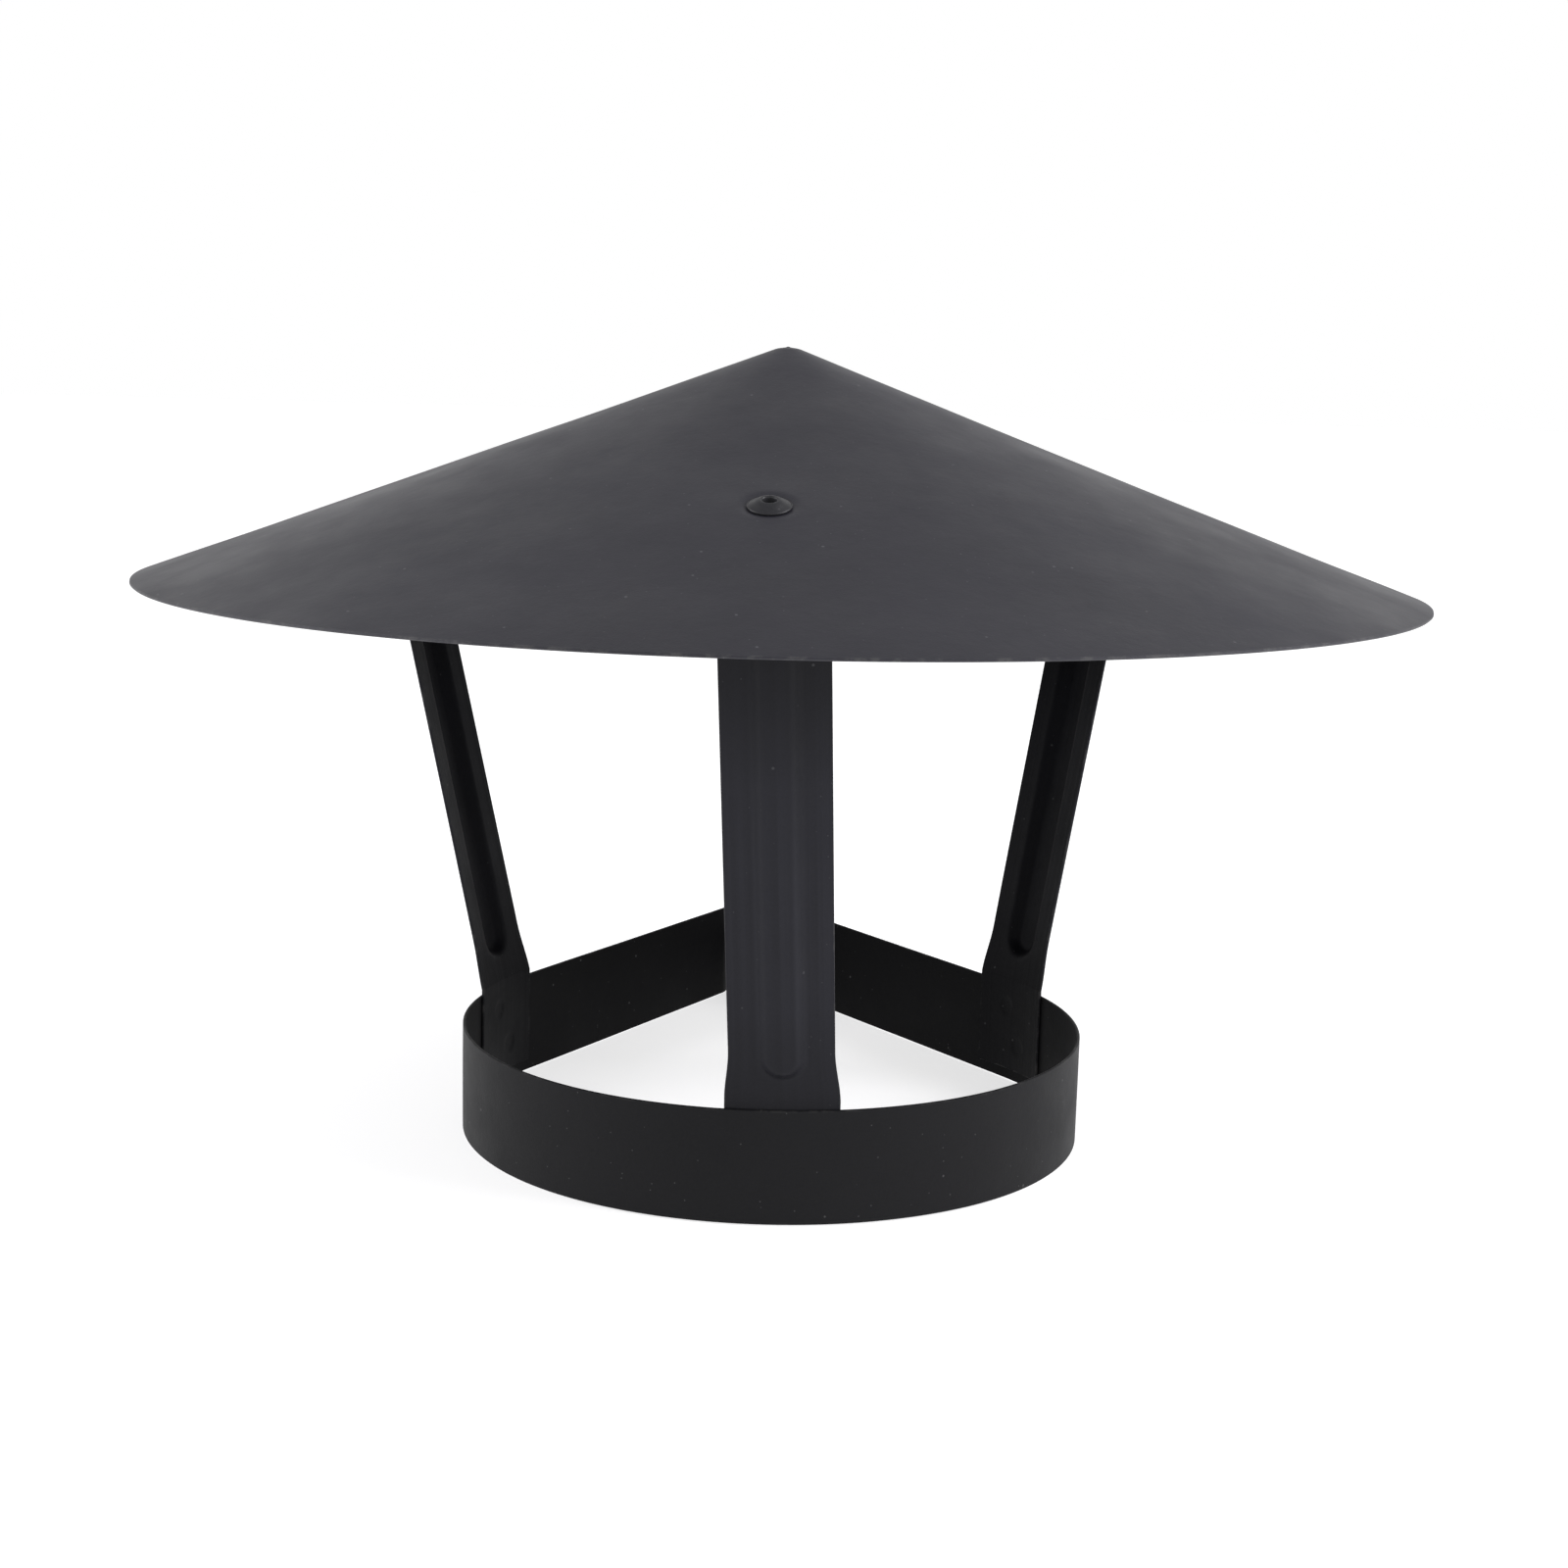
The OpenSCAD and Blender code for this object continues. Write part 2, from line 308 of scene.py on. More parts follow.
def rivet_azimuths():
    """Angle round the axis at which each leg's rivet stands."""
    azimuths = {}
    for leg in LEGS:
        low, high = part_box("rivet_" + leg)
        azimuths[leg] = math.atan2(low.y + high.y, low.x + high.x)
    return azimuths


RIVET_AT = rivet_azimuths()


def cone_face(r, offset):
    """Height of the face that lies offset above the cone's upper face, measured square to it."""
    return RIM_Z + (CAP_R - r) * math.tan(CAP_SLOPE) + offset / math.cos(CAP_SLOPE)


def cone_dents(x, y, r):
    """How far the sheet stands out of a true cone: hand-rolled waves, and dimples pulled in by the rivets."""
    still = 0.03
    fade = smooth((CAP_R - r) / still) * smooth(r / still)
    out = DENT * (waves(x, y, 0 * x, 0.045, 3) - 1) * fade
    for angle in RIVET_AT.values():
        d = np.hypot(x - RIVET_R * math.cos(angle), y - RIVET_R * math.sin(angle))
        out -= DIMPLE_DEPTH * spot(d, DIMPLE_R, DIMPLE_EDGE)
    return out


def make_cone():
    """The rolled sheet, and the tight knob of metal at its peak."""
    def surface(u, v):
        r = np.maximum(v, 0)
        x, y = r * np.cos(u), r * np.sin(u)
        lift = cone_dents(x, y, r) - SHEET / 2
        round_peak = -PEAK_DROP * spot(r, 0, PEAK_ROUND_R)
        n = np.stack([np.sin(CAP_SLOPE) * np.cos(u), np.sin(CAP_SLOPE) * np.sin(u),
                      np.full_like(u, math.cos(CAP_SLOPE))], -1)
        base = np.stack([x, y, cone_face(r, 0) + round_peak], -1)
        return base + n * lift[..., None], n
    turns = np.linspace(0, 2 * math.pi, 540, endpoint=False)
    fine_r = 4 * MM
    near_peak = np.linspace(0.3 * MM, fine_r, 8)[:-1]
    radii = np.concatenate([near_peak, np.linspace(fine_r, CAP_R - SHEET * 0.18, 150)])
    cone = sheet_piece("cap_sheet", surface, turns, radii, MAIN_BODY, wrap=True)
    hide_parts("cap_cone")
    button = [(0, 0.45 * MM), (0.3 * MM, 0.4 * MM), (0.6 * MM, 0.2 * MM), (0.62 * MM, 0), (0, -0.3 * MM)]
    tip = lathe("cap_tip", button, Matrix.Translation((0, 0, PEAK_Z - 0.95 * MM)), MAIN_BODY, steps=36)
    return [cone, tip]


def make_lap():
    """The end of the cone's blank, lapped over its start and spot-welded down."""
    def surface(u, v):
        y = np.sqrt(np.maximum(v * v - u * u, 0))
        lift = cone_dents(u, y, v) + SHEET / 2
        lift = lift - SHEET * 0.4 * smooth((u / LAP_W + 0.5 - 0.55) / 0.45)
        for r in np.linspace(0.03, CAP_R - 0.02, LAP_WELDS):
            lift = lift - 0.3 * MM * spot(np.hypot(u, v - r), 1.4 * MM, 1.6 * MM)
        outward = np.sin(CAP_SLOPE)
        n = np.stack([outward * u / v, outward * y / v, np.full_like(u, math.cos(CAP_SLOPE))], -1)
        return np.stack([u, y, cone_face(v, 0)], -1) + n * lift[..., None], n
    us = np.linspace(-LAP_W / 2, LAP_W / 2, 29)
    vs = np.linspace(12 * MM, CAP_R - 2 * MM, 260)
    return sheet_piece("cap_lap", surface, us, vs, MAIN_BODY)


# ---------------------------------------------------------------- legs

def leg_path():
    """Corners of the strip's middle line, as (distance from the axis, height), and its bend radii."""
    r0 = BAND_RO - SHEET - FIT_GAP - SHEET / 2
    knee = BAND_H + KNEE_RISE
    top = cone_face(0, -1.5 * SHEET - FIT_GAP)
    t_run, t_cap = math.tan(LEG_SLOPE), math.tan(CAP_SLOPE)
    r_crown = (r0 + (top - knee) * t_run) / (1 + t_run * t_cap)
    r_tab = RIVET_R - TAB_PAST_RIVET
    corners = [(r0, FOOT_Z), (r0, knee), (r_crown, top - r_crown * t_cap), (r_tab, top - r_tab * t_cap)]
    return corners, [BEND_R, BEND_R]


def rib_height(s, y, ends):
    """Pressed rib with a flat crown, rounded shoulders and round ends."""
    past = np.maximum(np.maximum(ends[0] - s, s - ends[1]), 0)
    inside = RIB_W / 2 - np.hypot(past, y)
    return RIB_H * smooth(inside / RIB_WALL)


def leg_width(z):
    """Full width at both ends, drawn in a little where the rib is pressed."""
    low = smooth((z - BAND_H - KNEE_RISE) / (12 * MM))
    high = smooth((z - RIM_Z + 4 * MM) / (8 * MM))
    return LEG_W - (LEG_W - WAIST_W) * low * (1 - high)


def weld_marks(s, y):
    """How deep the spot welds press the foot in."""
    out = np.zeros_like(s)
    for ws, wy in FOOT_WELDS:
        out += 0.16 * MM * spot(np.hypot(s - ws, y - wy), 1.9 * MM, 0.7 * MM)
    return out


def make_leg(name, azimuth, lean):
    """A strip with a pressed rib, whose foot and run wrap a little round the axis."""
    corners, radii = leg_path()
    points, heads = path_2d(corners, radii, STRIP_STEP)
    dist, sample = along(points, heads)
    knee_s = BAND_H + KNEE_RISE - FOOT_Z
    crown_s = knee_s + np.linalg.norm(np.subtract(corners[2], corners[1]))
    ends = (knee_s + RIB_CLEAR - KNEE_RISE + RIB_W / 2, crown_s - CROWN_CLEAR - RIB_W / 2)
    bent = waves(dist, dist * 0, dist * 0, 0.05, 5 + int(azimuth) % 7) * 0.12 * MM
    turn = math.radians(azimuth)

    def surface(u, v):
        (r, z), (hr, hz) = sample(u)
        y = v * leg_width(z) / LEG_W
        out = rib_height(u, y, ends) + np.interp(u, dist, bent) * smooth((u - knee_s) / 0.02)
        y = y - np.maximum(0, z - BAND_H - KNEE_RISE) * math.tan(math.radians(lean))
        x = np.sqrt(r * r - y * y)
        n = np.stack([hz * x / r, hz * y / r, -hr], -1)
        n /= np.linalg.norm(n, axis=-1, keepdims=True)
        p = np.stack([x, y, z], -1) + n * out[..., None]
        return turn_z(p, turn), turn_z(n, turn)
    across = np.linspace(-LEG_W / 2, LEG_W / 2, 53)
    leg = sheet_piece("strip_" + name, surface, dist, across, MAIN_BODY, thin=weld_marks)
    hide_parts("leg_" + name)
    return leg


# ---------------------------------------------------------------- clamp band

def band_path():
    """Plan of the band's middle line, from the right ear's end clockwise round the flue to the left ear's."""
    r = BAND_RO - SHEET / 2
    x_ear = EAR_GAP / 2 + SHEET / 2
    ear_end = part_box("clamp_band")[1].y
    slope = math.tan(math.pi / 2 - RUN_ANGLE)
    tangent = (r * math.sin(RUN_ANGLE), r * math.cos(RUN_ANGLE))
    y_corner = tangent[1] + (tangent[0] - x_ear) / slope
    corners = [(x_ear, ear_end), (x_ear, y_corner), tangent]
    side, side_heads = path_2d(corners, [EAR_BEND_R + SHEET / 2], STRIP_STEP)
    turn = np.linspace(math.pi / 2 - RUN_ANGLE, -1.5 * math.pi + RUN_ANGLE, 500)[1:-1]
    ring = np.stack([r * np.cos(turn), r * np.sin(turn)], -1)
    ring_heads = np.stack([np.sin(turn), -np.cos(turn)], -1)
    back = side[::-1] * [-1, 1]
    back_heads = side_heads[::-1] * [1, -1]
    return np.concatenate([side, ring, back]), np.concatenate([side_heads, ring_heads, back_heads])


def make_band():
    """The band and its ears in one strip, slightly wavy, with round corners at the ears' ends."""
    points, heads = band_path()
    dist, sample = along(points, heads)
    total = dist[-1]

    def surface(u, v):
        (x, y), (hx, hy) = sample(u)
        to_end = np.minimum(u, total - u)
        corner = np.clip(EAR_CORNER_R - to_end, 0, EAR_CORNER_R)
        trim = EAR_CORNER_R - np.sqrt(EAR_CORNER_R ** 2 - corner ** 2)
        z = trim + v / BAND_H * (BAND_H - 2 * trim)
        n = np.stack([-hy, hx, 0 * hx], -1)
        n /= np.linalg.norm(n, axis=-1, keepdims=True)
        wavy = BAND_WAVE * (waves(x, y, z, 0.03, 11) - 1)
        p = np.stack([x, y, z], -1) + n * wavy[..., None]
        return p, n
    band = sheet_piece("band_strip", surface, dist, np.linspace(0, BAND_H, 33), MAIN_BODY)
    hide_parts("clamp_band")
    return band


# ---------------------------------------------------------------- fasteners

def rivet_place(leg):
    """Matrix at a rivet's seat on the cone, with Z square to the sheet."""
    at = Vector((RIVET_R, 0, cone_face(RIVET_R, -0.33 * MM)))
    tilt = Matrix.Rotation(CAP_SLOPE, 4, "Y")
    return Matrix.Rotation(RIVET_AT[leg], 4, "Z") @ Matrix.Translation(at) @ tilt


def arc(cx, cz, r, a0, a1, steps):
    """Points on an arc round (cx, cz), from angle a0 to a1 in degrees."""
    return [(cx + r * math.cos(math.radians(a)), cz + r * math.sin(math.radians(a)))
            for a in np.linspace(a0, a1, steps)]


def make_rivet(leg):
    """Set blind rivet: rolled edge, dome, a dished mouth round the mandrel, and the swollen tail below."""
    dome_r, head_r, head_h = 7.6 * MM, 4.7 * MM, 1.75 * MM
    head = [(0.9 * MM, -0.2 * MM), (2.4 * MM, -0.2 * MM), (2.4 * MM, 0), (head_r - 0.1 * MM, 0)]
    head += arc(head_r - 0.22 * MM, 0.22 * MM, 0.22 * MM, -60, 60, 6)
    for x, z in arc(0, head_h - dome_r, dome_r, 54.5, 75.5, 24):
        head.append((x, z + 0.07 * MM * math.sin((x / MM - 1.6) * 2.2) * smooth((head_r - x) / MM)))
    head += [(1.72 * MM, head_h - 0.24 * MM), (1.62 * MM, head_h - 0.34 * MM), (1.55 * MM, head_h - 0.6 * MM)]
    head += [(1.5 * MM, head_h - 1.1 * MM), (1.3 * MM, head_h - 1.7 * MM)]
    piece = lathe("rivet_head_" + leg, head, rivet_place(leg), MAIN_BODY)
    low = -2 * SHEET
    tail = [(1.3 * MM, low), (2.6 * MM, low), (3.1 * MM, low - 0.5 * MM), (3.35 * MM, low - 1.6 * MM)]
    tail += [(3.0 * MM, low - 2.9 * MM), (2.3 * MM, low - 3.9 * MM), (1.4 * MM, low - 4.1 * MM)]
    tail.append((1.25 * MM, low - 2 * MM))
    under = lathe("rivet_tail_" + leg, tail, rivet_place(leg), MAIN_BODY)
    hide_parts("rivet_" + leg)
    return [piece, under]


def make_mandrel(leg):
    """The broken-off stem, with its torn end, and the bulb at the blind end."""
    torn_end = [(0, 0.35 * MM), (0.35 * MM, 0.42 * MM), (0.7 * MM, 0.28 * MM), (1.05 * MM, 0.32 * MM)]
    stem_r, low = 1.2 * MM, -2 * SHEET - 4 * MM
    bulb = [(1.95 * MM, low - 0.1 * MM), (2.0 * MM, low - 0.7 * MM), (1.6 * MM, low - 1.4 * MM)]
    profile = torn_end + [(stem_r, 0.15 * MM), (stem_r, low)] + bulb + [(0, low - 1.6 * MM)]
    piece = lathe("mandrel_stem_" + leg, profile, rivet_place(leg), MAIN_BODY)
    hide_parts("mandrel_" + leg)
    return piece


def bolt_span(node):
    """Lowest and highest place of a node along the bolt's axis."""
    at = [(Vector(v.co) - BOLT_POINT).dot(BOLT_AXIS) for v in frame["nodes"][node].data.vertices]
    return min(at), max(at)


def bolt_place(x, turned=False):
    """Matrix on the bolt's axis at x, with Z along the axis, or against it when turned."""
    axis = -BOLT_AXIS if turned else BOLT_AXIS
    spin = Vector((0, 0, 1)).rotation_difference(axis).to_matrix().to_4x4()
    return Matrix.Translation(BOLT_POINT + BOLT_AXIS * x) @ spin


def hexagon(a):
    """Radius of a hexagon's outline at an angle, with slightly rounded corners."""
    fold = (a + math.pi / 6) % (math.pi / 3) - math.pi / 6
    return np.minimum(HEX_W / 2 / np.cos(fold), HEX_W / 2 * 1.145)


def closed_ends(wall, bore=0.0):
    """Radius function of a piece whose first and last rows draw in to the bore, as flat ends."""
    def radius(a, h):
        r = wall(a, h)
        r[:, 0] = bore
        r[:, -1] = bore
        return r
    return radius


def chamfered(height, both):
    """Radius function of a hexagon with a turned chamfer at its far end, or at both ends."""
    chamfer_r, chamfer_slope = HEX_W / 2 * 0.97, 1.8

    def radius(a, h):
        limit = chamfer_r + (height - h) * chamfer_slope
        if both:
            limit = np.minimum(limit, chamfer_r + h * chamfer_slope)
        return np.minimum(hexagon(a), limit)
    return radius


def make_hex(name, x, height, body, turned=False, bore=0.0, both=False):
    """Hexagon head or nut: outer wall with turned chamfers, and flat ends."""
    heights = np.linspace(0, height, 22)
    levels = np.concatenate([[0], heights, [height]])
    radius = closed_ends(chamfered(height, both), bore)
    return polar_piece(name, radius, levels, bolt_place(x, turned), body)


def make_bolt():
    """Hexagon head, and a shank with a screw thread cut over its far end."""
    low, high = bolt_span("clamp_bolt")
    seat = bolt_span("washer_head_side")[0]
    head = make_hex("bolt_head", seat, seat - low, MAIN_BODY, turned=True)
    length = high - seat
    plain = length - THREAD_L

    def thread(a, h):
        tooth = np.abs(((h / THREAD_PITCH - a / (2 * math.pi)) % 1) - 0.5) * 2
        cut = THREAD_DEPTH * (1 - smooth(tooth * 1.25)) * smooth((h - plain) / THREAD_PITCH)
        tip = np.minimum(1, (length - h) / (1.2 * MM) + 0.72)
        return (THREAD_R - cut) * tip
    threaded = np.arange(plain, length, THREAD_PITCH / 9)
    levels = np.concatenate([[0], np.linspace(0, plain, 4)[:-1], threaded, [length, length]])
    place = bolt_place(seat)
    shank = polar_piece("bolt_shank", closed_ends(thread), levels, place, MAIN_BODY, steps=72, sharp=60)
    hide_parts("clamp_bolt")
    return [head, shank]


def make_washer(node, body):
    """Flat washer with eased edges."""
    low, high = bolt_span(node)
    t, ro, ri, e = high - low, WASHER_RO, WASHER_RI, WASHER_EDGE
    ring = [(ri, e * 0.5), (ri + e * 0.5, 0), (ro - e, 0), (ro, e)]
    ring += [(ro, t - e), (ro - e, t), (ri + e * 0.5, t), (ri, t - e * 0.5), (ri, e * 0.5)]
    washer = lathe("turned_" + node, ring, bolt_place(low), body, steps=96, sharp=30)
    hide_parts(node)
    return washer


def make_nut():
    low, high = bolt_span("clamp_nut")
    nut = make_hex("hex_nut", low, high - low, "nut", bore=NUT_BORE_R, both=True)
    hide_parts("clamp_nut")
    return nut


# ---------------------------------------------------------------- materials

class Nodes:
    """A small helper that adds and links shader nodes."""

    def __init__(self, name, rough, metallic=0.0):
        self.material = bpy.data.materials.new(name)
        self.material.use_nodes = True
        self.tree = self.material.node_tree
        self.shader = self.tree.nodes["Principled BSDF"]
        self.shader.inputs["Metallic"].default_value = metallic
        self.shader.inputs["Roughness"].default_value = rough
        self.coords = self.tree.nodes.new("ShaderNodeTexCoord").outputs["Object"]

    def link(self, source, target):
        self.tree.links.new(source, target)

    def noise(self, scale, detail=3.0, rough=0.5):
        node = self.tree.nodes.new("ShaderNodeTexNoise")
        node.inputs["Scale"].default_value = scale
        node.inputs["Detail"].default_value = detail
        node.inputs["Roughness"].default_value = rough
        self.link(self.coords, node.inputs["Vector"])
        return node.outputs["Fac"]

    def lines_along(self, scale):
        """Straight drawing lines along a strip, from its across layer."""
        node = self.tree.nodes.new("ShaderNodeTexNoise")
        node.noise_dimensions = "1D"
        node.inputs["Scale"].default_value = scale
        node.inputs["Detail"].default_value = 3.0
        self.link(self.attribute("across"), node.inputs["W"])
        return node.outputs["Fac"]

    def height_fade(self, stops):
        """Value by height above the base, through (height in metres, value) stops."""
        split = self.tree.nodes.new("ShaderNodeSeparateXYZ")
        self.link(self.coords, split.inputs["Vector"])
        scale = 5.0
        scaled = [(z * scale, value) for z, value in stops]
        return self.ramp(self.math("MULTIPLY", split.outputs["Z"], scale), scaled)

    def ramp(self, source, stops):
        """Maps a value through (place, value) stops."""
        node = self.tree.nodes.new("ShaderNodeValToRGB")
        elements = node.color_ramp.elements
        while len(elements) < len(stops):
            elements.new(0.5)
        for element, (place, value) in zip(elements, stops):
            element.position = place
            element.color = (value, value, value, 1)
        self.link(source, node.inputs["Fac"])
        return node.outputs["Color"]

    def math(self, kind, a, b):
        node = self.tree.nodes.new("ShaderNodeMath")
        node.operation = kind
        for socket, value in zip(node.inputs, (a, b)):
            if isinstance(value, (int, float)):
                socket.default_value = value
            else:
                self.link(value, socket)
        return node.outputs["Value"]

    def mix(self, factor, a, b):
        node = self.tree.nodes.new("ShaderNodeMix")
        node.data_type = "RGBA"
        sockets = [node.inputs[0], node.inputs[6], node.inputs[7]]
        for socket, value in zip(sockets, (factor, a, b)):
            if isinstance(value, tuple):
                socket.default_value = (*value, 1)
            elif isinstance(value, (int, float)):
                socket.default_value = value
            else:
                self.link(value, socket)
        return node.outputs[2]

    def attribute(self, name):
        node = self.tree.nodes.new("ShaderNodeAttribute")
        node.attribute_name = name
        return node.outputs["Fac"]

    def bump(self, layers):
        """Bump from (height, distance in metres, strength) layers, stacked."""
        normal = None
        for height, distance, strength in layers:
            node = self.tree.nodes.new("ShaderNodeBump")
            node.inputs["Distance"].default_value = distance
            node.inputs["Strength"].default_value = strength
            self.link(height, node.inputs["Height"])
            if normal is not None:
                self.link(normal, node.inputs["Normal"])
            normal = node.outputs["Normal"]
        self.link(normal, self.shader.inputs["Normal"])


def shade(colour, k):
    """The colour, k times as bright."""
    return tuple(c * k for c in colour)


def speck_mask(nodes, cells, size, share, shift):
    """Small round specks, one in some of the cells of a Voronoi pattern."""
    tree = nodes.tree
    shifted = tree.nodes.new("ShaderNodeMapping")
    shifted.inputs["Location"].default_value = (shift, 0.3 * shift, 0)
    nodes.link(nodes.coords, shifted.inputs["Vector"])
    cell = tree.nodes.new("ShaderNodeTexVoronoi")
    cell.inputs["Scale"].default_value = cells
    nodes.link(shifted.outputs["Vector"], cell.inputs["Vector"])
    dot = nodes.ramp(cell.outputs["Distance"], [(0, 1), (size * 0.6, 1), (size, 0)])
    split = tree.nodes.new("ShaderNodeSeparateColor")
    nodes.link(cell.outputs["Color"], split.inputs["Color"])
    chosen = nodes.math("LESS_THAN", split.outputs[0], share)
    return nodes.math("MULTIPLY", dot, chosen)


def cloudy_paint(nodes, colour, cloudy):
    """Paint that is a little uneven in large clouds and in fine grit."""
    cloud = nodes.ramp(nodes.noise(16, 4, 0.55), [(0.3, 0), (0.72, 1)])
    base = nodes.mix(cloud, shade(colour, 1 - cloudy), shade(colour, 1 + cloudy))
    grain = nodes.ramp(nodes.noise(1400, 2), [(0.35, 0), (0.7, 1)])
    return nodes.mix(nodes.math("MULTIPLY", grain, 0.30), base, shade(colour, 1.28))


def drawing_lines(nodes, base, colour, lines):
    """Paler lines along a strip, strong in some patches and faint in others."""
    patchy = nodes.math("MULTIPLY", lines, nodes.ramp(nodes.noise(22, 3), [(0.3, 0.15), (0.7, 1)]))
    return nodes.mix(nodes.math("MULTIPLY", patchy, 0.5), base, shade(colour, 1.8))


def leg_painted_shade(nodes, base, colour):
    """Painted shade on a leg: dark under the cone's rim, where the cone shades it, and darker towards the
    foot than in its better-lit middle.
    """
    shade_by_height = nodes.height_fade([(0.02, 0.7), (0.05, 0.12), (0.10, 0.0), (0.135, 0.8)])
    return nodes.mix(shade_by_height, base, shade(colour, 0.12))


def dusty(nodes, base, colour, dust):
    """Pale dust specks in two sizes."""
    pale = tuple(c * 1.5 + 0.12 for c in colour)
    large, small = (170, 0.065, 0.75, 0.0), (420, 0.085, 0.45, 1.7)
    for specks, strength in ((large, 0.45), (small, 0.32)):
        mask = speck_mask(nodes, *specks)
        base = nodes.mix(nodes.math("MULTIPLY", mask, strength * dust), base, pale)
    return base


def worn_edges(nodes, base, wear):
    """Chips in the paint along the cut edges, down to dull steel."""
    edge = nodes.ramp(nodes.attribute("edge"), [(0.0, 1), (0.5, 0)])
    chips = nodes.ramp(nodes.noise(260, 4, 0.65), [(0.5, 0), (0.62, 1)])
    worn = nodes.math("MULTIPLY", nodes.math("MULTIPLY", edge, chips), wear)
    return nodes.mix(worn, base, (0.09, 0.088, 0.085))


def paint(name, colour, rough, dust=0.5, streak=None, wear=0.35, sheen=0.2, cloudy=0.14):
    """Matt heat-resistant paint on sheet steel. streak is the scale of the drawing lines, on legs only."""
    nodes = Nodes(name, rough)
    base = cloudy_paint(nodes, colour, cloudy)
    relief = [(nodes.noise(24, 2), 0.0012, 0.04), (nodes.noise(520, 2), 0.00022, 0.16),
              (nodes.noise(2400, 2), 0.00008, 0.30)]
    if streak:
        lines = nodes.ramp(nodes.lines_along(streak), [(0.36, 0), (0.66, 1)])
        # Legs also get painted shade, darker under the cone's rim and towards the foot.
        base = leg_painted_shade(nodes, drawing_lines(nodes, base, colour, lines), colour)
        relief.append((lines, 0.00010, 0.25))
    base = worn_edges(nodes, dusty(nodes, base, colour, dust), wear)
    nodes.link(base, nodes.shader.inputs["Base Color"])
    patch = nodes.ramp(nodes.noise(34, 4, 0.6), [(0.3, rough - 0.07), (0.7, rough + 0.07)])
    nodes.link(patch, nodes.shader.inputs["Roughness"])
    nodes.bump(relief)
    nodes.shader.inputs["Specular IOR Level"].default_value = sheen
    return nodes.material


def bare_metal(name, colour, rough, rust):
    """Blackened or torn steel: fine grain, dull patches and a little rust."""
    nodes = Nodes(name, rough, 1.0)
    cloud = nodes.ramp(nodes.noise(160, 4, 0.6), [(0.3, 0), (0.7, 1)])
    base = nodes.mix(cloud, shade(colour, 0.72), shade(colour, 1.12))
    spots = nodes.ramp(nodes.noise(520, 5, 0.7), [(0.58, 0), (0.68, 1)])
    base = nodes.mix(nodes.math("MULTIPLY", spots, rust), base, (0.16, 0.085, 0.045))
    nodes.link(base, nodes.shader.inputs["Base Color"])
    patch = nodes.ramp(nodes.noise(300, 4, 0.6), [(0.3, rough - 0.08), (0.7, rough + 0.14)])
    nodes.link(patch, nodes.shader.inputs["Roughness"])
    nodes.bump([(nodes.noise(900, 3), 0.00012, 0.3), (nodes.noise(3600, 2), 0.00004, 0.4)])
    return nodes.material


def paint_with_shaded_inside(name, colour, rough, sheen, **look):
    """Paint for a sheet's outer face, and a duller copy for its inner face, much darker as painted shade
    where the faces look in under the cone.
    """
    outer = paint(name, colour, rough, sheen=sheen, **look)
    return outer, paint(name + "_inside", shade(colour, 0.35), rough + 0.04, sheen=sheen * 0.45, **look)


def dress(obj, material, inner=None):
    """Gives a piece its material, and another, the painted-shade copy, to the inner faces of a sheet."""
    mesh = obj.data
    mesh.materials.clear()
    mesh.materials.append(material)
    if inner and "inside" in mesh.attributes:
        mesh.materials.append(inner)
        inside = np.zeros(len(mesh.vertices), np.float32)
        mesh.attributes["inside"].data.foreach_get("value", inside)
        faces = [int(inside[list(face.vertices)].min() > 0.9) for face in mesh.polygons]
        mesh.polygons.foreach_set("material_index", faces)


# ---------------------------------------------------------------- stage, lights and camera

def make_floor():
    """Seamless pale studio floor."""
    bm = bmesh.new()
    bmesh.ops.create_grid(bm, x_segments=8, y_segments=8, size=8)
    mesh = bpy.data.meshes.new("floor")
    bm.to_mesh(mesh)
    bm.free()
    floor = bpy.data.objects.new("floor", mesh)
    bpy.context.scene.collection.objects.link(floor)
    floor.location.z = -0.0002
    nodes = Nodes("floor_paper", 0.9)
    tone = nodes.ramp(nodes.noise(3, 2), [(0.3, 0), (0.7, 1)])
    nodes.link(nodes.mix(tone, (0.60, 0.60, 0.60), (0.62, 0.62, 0.62)), nodes.shader.inputs["Base Color"])
    nodes.shader.inputs["Emission Color"].default_value = (1, 1, 1, 1)
    nodes.shader.inputs["Emission Strength"].default_value = 0.64
    nodes.shader.inputs["Specular IOR Level"].default_value = 0.1
    mesh.materials.append(nodes.material)


def area_light(name, place, power):
    """A large, slightly cool soft box, aimed at the height of the cone's rim."""
    data = bpy.data.lights.new(name, "AREA")
    data.shape = "RECTANGLE"
    data.size, data.size_y = 0.8, 1.0
    data.energy = power
    data.color = (0.97, 0.96, 1.0)
    light = bpy.data.objects.new(name, data)
    light.location = place
    aim = Vector((0, 0, 0.14))
    light.rotation_euler = (aim - Vector(place)).to_track_quat("-Z", "Y").to_euler()
    bpy.context.scene.collection.objects.link(light)


def make_world():
    """White walls all round, under a ceiling that is dimmer straight overhead."""
    world = bpy.data.worlds.new("studio")
    bpy.context.scene.world = world
    world.use_nodes = True
    tree = world.node_tree
    split = tree.nodes.new("ShaderNodeSeparateXYZ")
    tree.links.new(tree.nodes.new("ShaderNodeTexCoord").outputs["Generated"], split.inputs["Vector"])
    fade = tree.nodes.new("ShaderNodeValToRGB")
    for element, (place, value) in zip(fade.color_ramp.elements, ((0.3, 1.0), (0.75, 0.4))):
        element.position = place
        element.color = (value, value, value, 1)
    tree.links.new(split.outputs["Z"], fade.inputs["Fac"])
    tree.links.new(fade.outputs["Color"], tree.nodes["Background"].inputs["Color"])


def make_lights():
    """Bright, even studio light, with the key from the right."""
    bpy.context.scene.view_settings.view_transform = "Standard"
    make_world()
    area_light("key", (1.3, -0.35, 0.95), 22)
    area_light("fill", (-1.4, -0.1, 0.8), 12)


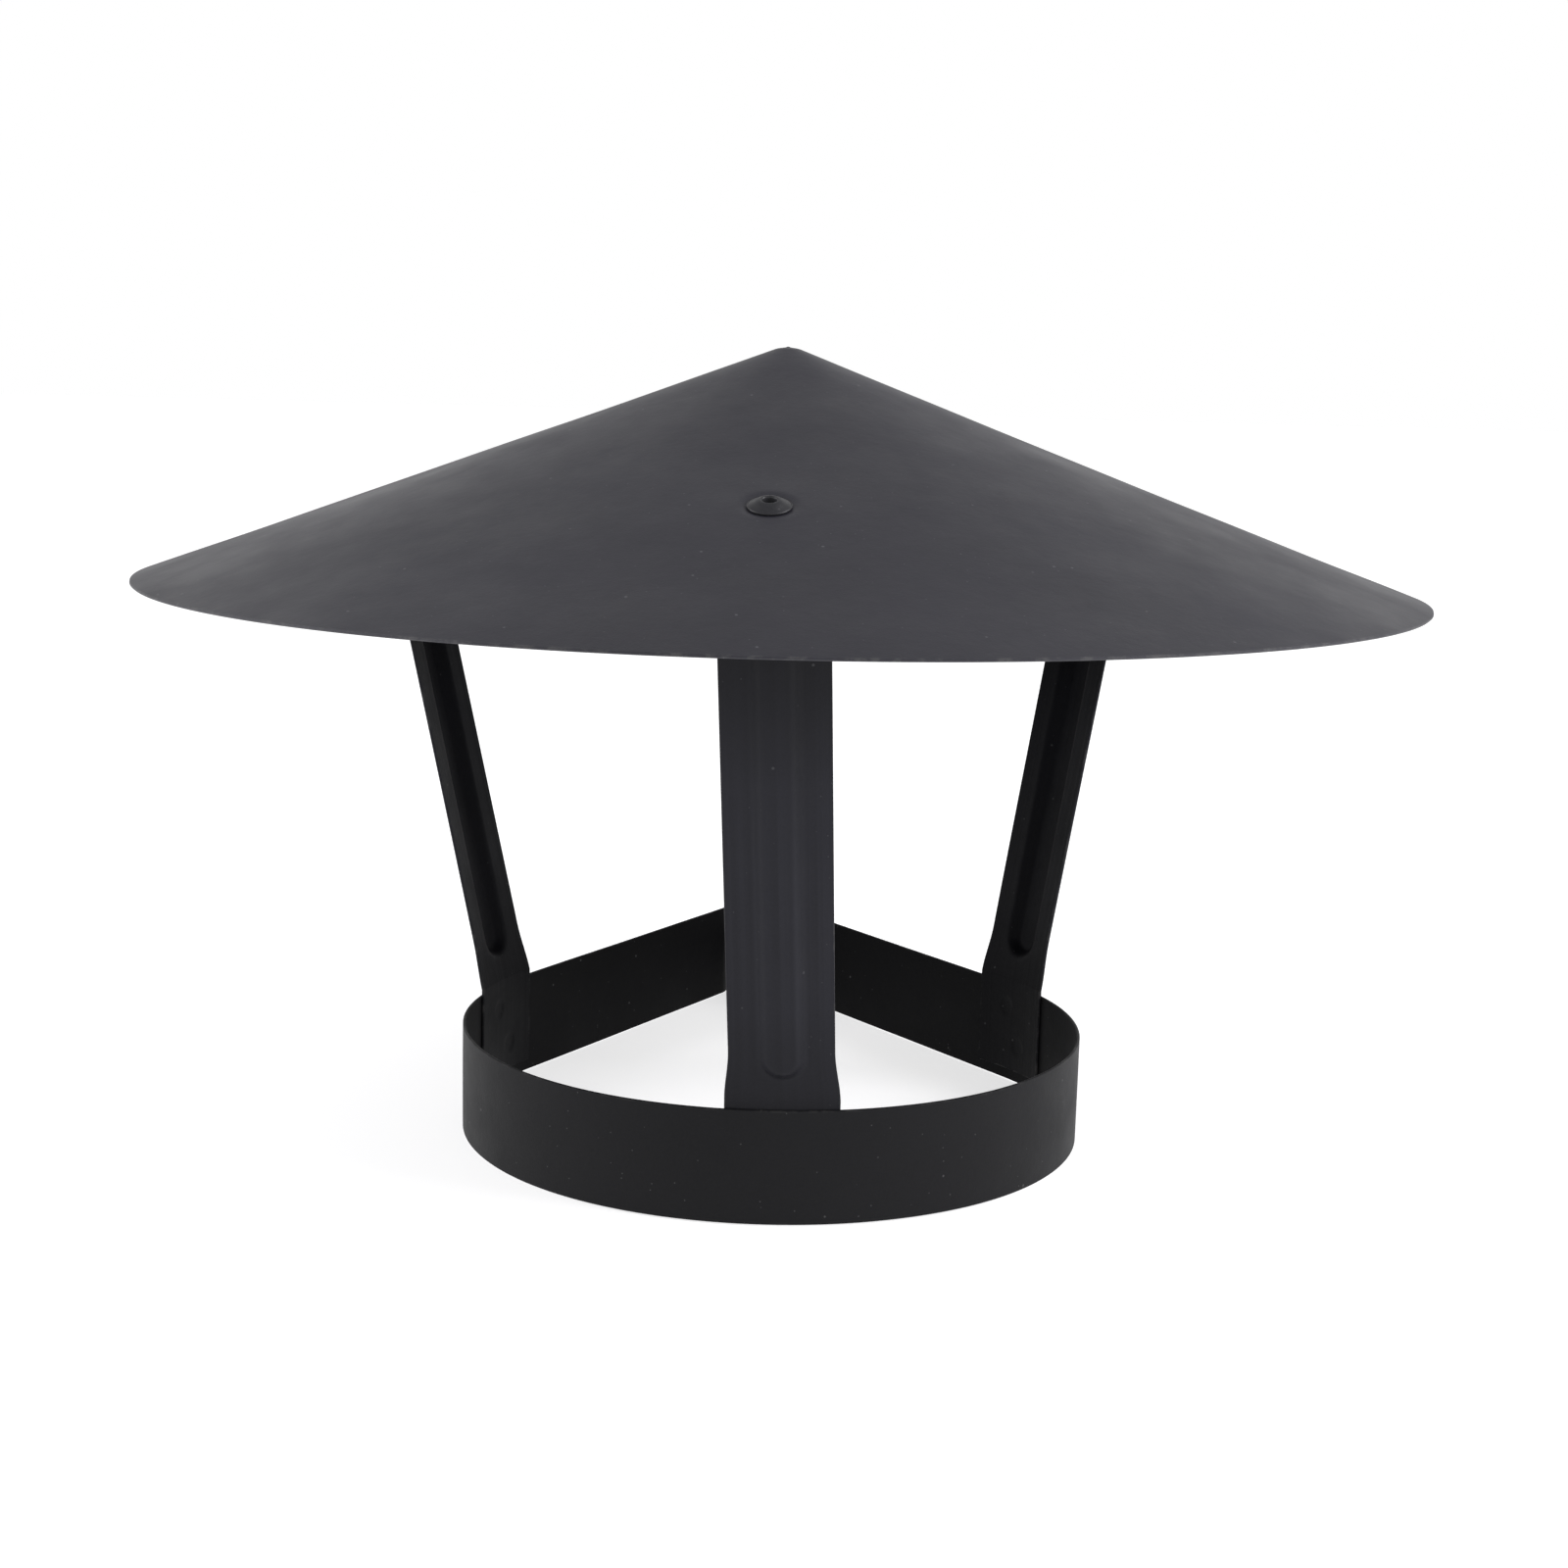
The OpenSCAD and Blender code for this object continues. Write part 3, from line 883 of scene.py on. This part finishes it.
CAMERA_TURN = math.radians(-2.35)
CAMERA_RISE = math.radians(9.8)
CAMERA_ROLL = math.radians(1.45)
CAMERA_DISTANCE = 0.5998
CAMERA_AIM = (0.0016, 0.0, 0.0849)
CAMERA_LENS = 56.7


def make_camera():
    """From the front, a little above the rim, leaning by about a degree."""
    data = bpy.data.cameras.new("camera")
    data.lens = CAMERA_LENS
    data.sensor_width = 36
    data.clip_start = 0.01
    camera = bpy.data.objects.new("camera", data)
    bpy.context.scene.collection.objects.link(camera)
    back = Vector((0, -math.cos(CAMERA_RISE), math.sin(CAMERA_RISE)))
    turn = Matrix.Rotation(CAMERA_TURN, 4, "Z")
    place = Matrix.Translation(Vector(CAMERA_AIM) + back * CAMERA_DISTANCE)
    tilt = Matrix.Rotation(math.pi / 2 - CAMERA_RISE, 4, "X") @ Matrix.Rotation(CAMERA_ROLL, 4, "Z")
    camera.matrix_world = turn @ place @ tilt
    bpy.context.scene.camera = camera


# ---------------------------------------------------------------- assembly

def build():
    """Makes every piece and gives it its material."""
    cap_paint = paint_with_shaded_inside("cap_paint", (0.0185, 0.0180, 0.0245), 0.50, 0.35, dust=1.0)
    # The legs and band carry the cone's own paint, given darker colours as painted shade: their upright faces
    # get less of the light from above.
    leg_paint = paint_with_shaded_inside("leg_paint", (0.0135, 0.0135, 0.0178), 0.48, 0.14, dust=0.5, wear=0.25,
                             streak=420, cloudy=0.2)
    band_paint = paint_with_shaded_inside("band_paint", (0.0085, 0.0085, 0.0095), 0.54, 0.11, dust=0.9, wear=0.15)
    rivet_paint = paint("rivet_paint", (0.018, 0.018, 0.021), 0.42, dust=0.3, wear=0, sheen=0.34)
    # The stem's colour is kept very dark: dull torn steel, darkened further as painted shade down in the
    # rivet's mouth.
    shaded_torn_steel = bare_metal("mandrel_steel", (0.06, 0.06, 0.063), 0.6, rust=0.4)
    black_steel = bare_metal("black_steel", (0.055, 0.055, 0.058), 0.36, rust=0.1)
    for piece in make_cone() + [make_lap()]:
        dress(piece, cap_paint[0], cap_paint[1])
    for leg, (azimuth, lean) in LEGS.items():
        dress(make_leg(leg, azimuth, lean), leg_paint[0], leg_paint[1])
        for piece in make_rivet(leg):
            dress(piece, rivet_paint)
        dress(make_mandrel(leg), shaded_torn_steel)
    dress(make_band(), band_paint[0], band_paint[1])
    fasteners = make_bolt() + [make_washer("washer_head_side", MAIN_BODY), make_nut()]
    fasteners.append(make_washer("washer_nut_side", "nut_washer"))
    for piece in fasteners:
        dress(piece, black_steel)


make_camera()
make_floor()
make_lights()
build()
